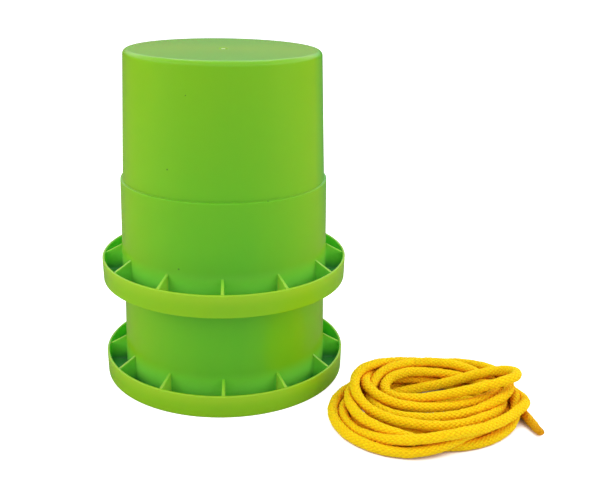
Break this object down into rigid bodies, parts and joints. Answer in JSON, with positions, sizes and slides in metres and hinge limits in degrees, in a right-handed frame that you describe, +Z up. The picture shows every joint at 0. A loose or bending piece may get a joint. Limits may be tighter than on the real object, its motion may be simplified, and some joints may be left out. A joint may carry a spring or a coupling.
{
  "type": "tin can stilts",
  "caption": "Nested stilt cups with flat platforms, stepped walls and gusseted foot rings, beside a loose hank of braided rope for the hand loops.",
  "frame": {"origin": "middle of the lower cup's foot ring, on the ground", "axes": "+Z up along the cups' common axis; +X along the rope holes, towards the side where the hank lies; -Y towards the person who looks at the stilts"},
  "size_m": [0.2555, 0.1947, 0.1995],
  "materials": {
    "lower_cup_green": "lime green moulded plastic, smooth and glossy",
    "upper_cup_green": "lime green moulded plastic, smooth and glossy",
    "rope_yellow": "yellow braided cord"
  },
  "bodies": {
    "lower_cup": {"lower_stilt_cup": "lower_cup_green"},
    "upper_cup": {"upper_stilt_cup": "upper_cup_green"},
    "rope": {"rope_hank": "rope_yellow", "rope_end": "rope_yellow"}
  },
  "joints": [
    {"name": "upper_cup_lift", "type": "slide", "parent": "lower_cup", "child": "upper_cup", "axis": [0, 0, 1], "range_m": [0, 0.1]},
    {"name": "rope_lift", "type": "slide", "parent": "lower_cup", "child": "rope", "axis": [0, 0, 1], "range_m": [0, 0.1]}
  ]
}
